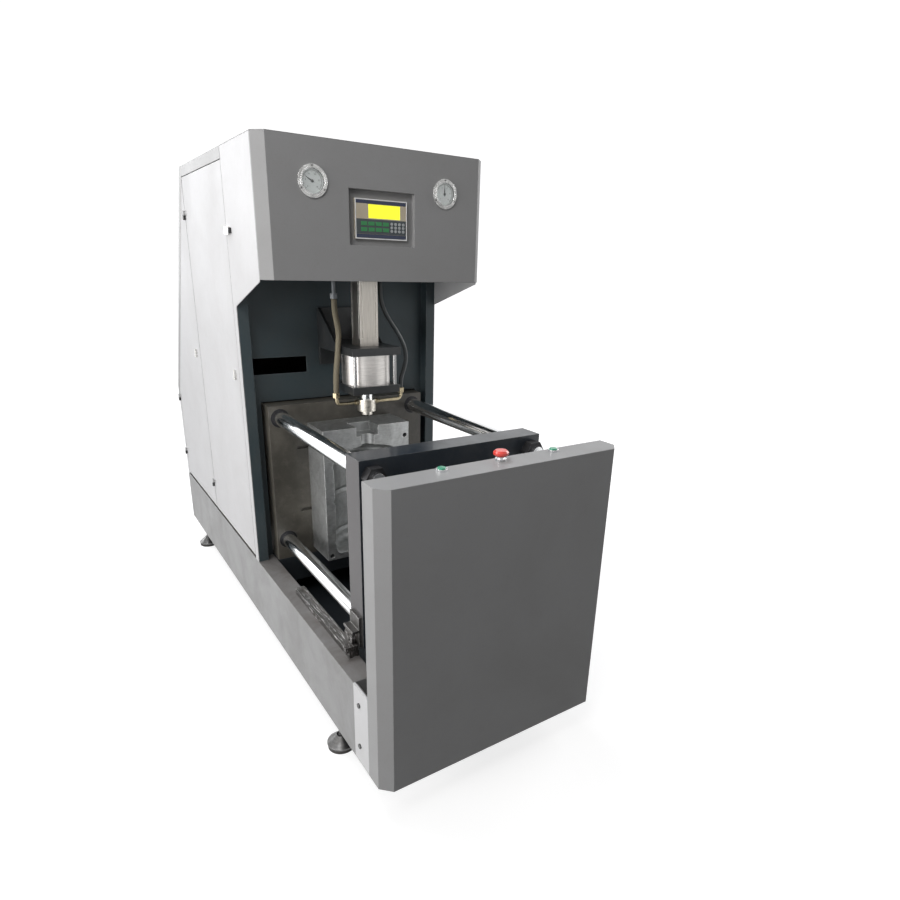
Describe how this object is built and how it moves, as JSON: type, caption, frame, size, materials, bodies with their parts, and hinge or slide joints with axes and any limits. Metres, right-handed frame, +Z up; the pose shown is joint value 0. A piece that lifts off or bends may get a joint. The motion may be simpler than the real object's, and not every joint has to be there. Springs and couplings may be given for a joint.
{
  "type": "blow moulding machine",
  "caption": "Stretch blow moulding machine: console with push buttons, a clamp on tie bars with two mould halves, a head with controls over a sealing nozzle, a sloping cabinet.",
  "frame": {"origin": "on the floor, midway along the machine's length and on its centre line", "axes": "+Z up, +Y from the operator's console to the rear of the cabinet, +X to the operator's right"},
  "size_m": [0.762, 2.208, 1.719],
  "materials": {
    "cover_paint": "satin light grey paint",
    "base_paint": "textured mid grey paint",
    "frame_paint": "dark blue-grey paint",
    "plate_paint": "dark blue-green paint on machined plate",
    "mould_aluminium": "milled, cavity polished",
    "aluminium": "anodised",
    "black_anodised": "black anodised",
    "chrome": "polished",
    "steel": "turned",
    "bolt_steel": "zinc plated",
    "foot_steel": "zinc plated",
    "bronze": "turned bronze",
    "brass": "nickel plated brass",
    "rubber": "matte",
    "braided_hose": "textile braid",
    "dark_hose": "smooth",
    "hinge_black": "black enamel",
    "panel_plastic": "matte",
    "screen": "backlit display",
    "valve_plastic": "matte",
    "dial": "printed white",
    "glass": "clear",
    "pointer": "black",
    "green_plastic": "gloss",
    "red_plastic": "gloss"
  },
  "bodies": {
    "machine": {"air_inlet": "brass", "base_frame": "base_paint", "blow_pipes": "steel", "blow_valves": "valve_plastic", "button_collars": "chrome", "cabinet_frame": "frame_paint", "cheek_bolts": "bolt_steel", "clamp_cylinder": "aluminium", "console_back": "cover_paint", "console_cheeks": "base_paint", "console_cover": "cover_paint", "controller_case": "panel_plastic", "controller_screen": "screen", "controller_tray": "cover_paint", "cylinder_bracket": "black_anodised", "fixed_platen": "plate_paint", "foot_pads": "rubber", "gauge_cases": "chrome", "gauge_dials": "dial", "gauge_glasses": "glass", "head_cover": "cover_paint", "hinge_leaves": "hinge_black", "hose_left": "braided_hose", "hose_right": "dark_hose", "levelling_feet": "foot_steel", "partition": "frame_paint", "rear_cover": "cover_paint", "rear_mould": "mould_aluminium", "roller_tracks": "steel", "seal_barrel": "aluminium", "seal_cap": "black_anodised", "seal_tie_rods": "bolt_steel", "side_panel_left": "cover_paint", "side_panel_right": "cover_paint", "stretch_cylinder": "aluminium", "tie_bar_bushes": "bronze", "top_cover": "cover_paint", "valve_shelf": "frame_paint"},
    "clamp": {"moving_platen": "plate_paint", "front_mould": "mould_aluminium", "tie_bars": "chrome", "tie_bar_nuts": "bolt_steel", "crosshead": "plate_paint", "clamp_rod": "chrome", "roller_brackets": "bolt_steel"},
    "rollers": {"rollers": "steel"},
    "seal": {"seal_piston_rod": "chrome", "blow_nozzle": "steel", "nozzle_elbows": "steel"},
    "stretch": {"stretch_rod": "chrome"},
    "main_door": {"main_door": "cover_paint"},
    "main_door_lock": {"main_door_lock": "hinge_black"},
    "rear_door": {"rear_door": "cover_paint"},
    "rear_door_lock": {"rear_door_lock": "hinge_black"},
    "start_button_left": {"start_button_left": "green_plastic"},
    "start_button_right": {"start_button_right": "green_plastic"},
    "stop_stem": {"stop_stem": "steel"},
    "stop_head": {"stop_head": "red_plastic"},
    "gauge_pointer_left": {"gauge_pointer_left": "pointer"},
    "gauge_pointer_right": {"gauge_pointer_right": "pointer"}
  },
  "joints": [
    {"name": "clamp_slide", "type": "slide", "parent": "machine", "child": "clamp", "axis": [0, 1, 0], "range_m": [0, 0.3465]},
    {"name": "roller_turn", "type": "hinge", "parent": "clamp", "child": "rollers", "pos_m": [0, -0.794, 0.4003], "axis": [1, 0, 0], "range_deg": [-800, 10]},
    {"name": "seal_slide", "type": "slide", "parent": "machine", "child": "seal", "axis": [0, 0, -1], "range_m": [0, 0.045], "deforming": ["hose_left", "hose_right"]},
    {"name": "stretch_slide", "type": "slide", "parent": "machine", "child": "stretch", "axis": [0, 0, -1], "range_m": [0, 0.485]},
    {"name": "main_door_hinge", "type": "hinge", "parent": "machine", "child": "main_door", "pos_m": [-0.376, 0.5, 0.9], "axis": [0, 0, -1], "range_deg": [0, 105]},
    {"name": "rear_door_hinge", "type": "hinge", "parent": "machine", "child": "rear_door", "pos_m": [-0.376, 1.065, 0.6], "axis": [0, 0, -1], "range_deg": [0, 105]},
    {"name": "main_lock_turn", "type": "hinge", "parent": "main_door", "child": "main_door_lock", "pos_m": [-0.36, -0.029, 1.029], "axis": [1, 0, 0], "range_deg": [0, 90]},
    {"name": "rear_lock_turn", "type": "hinge", "parent": "rear_door", "child": "rear_door_lock", "pos_m": [-0.36, 0.569, 1.029], "axis": [1, 0, 0], "range_deg": [0, 90]},
    {"name": "left_button_press", "type": "slide", "parent": "machine", "child": "start_button_left", "axis": [0, 0, -1], "range_m": [0, 0.004], "stiffness_N_per_m": 800, "springref_m": -0.003},
    {"name": "right_button_press", "type": "slide", "parent": "machine", "child": "start_button_right", "axis": [0, 0, -1], "range_m": [0, 0.004], "stiffness_N_per_m": 800, "springref_m": -0.003},
    {"name": "stop_press", "type": "slide", "parent": "machine", "child": "stop_stem", "axis": [0, 0, -1], "range_m": [0, 0.005]},
    {"name": "stop_turn", "type": "hinge", "parent": "stop_stem", "child": "stop_head", "pos_m": [0, -1.042, 0.963], "axis": [0, 0, 1], "range_deg": [0, 45]},
    {"name": "left_pointer_turn", "type": "hinge", "parent": "machine", "child": "gauge_pointer_left", "pos_m": [-0.215, -0.414, 1.608], "axis": [0, 1, 0], "range_deg": [-75, 195]},
    {"name": "right_pointer_turn", "type": "hinge", "parent": "machine", "child": "gauge_pointer_right", "pos_m": [0.215, -0.414, 1.608], "axis": [0, 1, 0], "range_deg": [-135, 135]}
  ],
  "couplings": [
    {"joint": "roller_turn", "follows": "clamp_slide", "rad_per_m": -40}
  ]
}
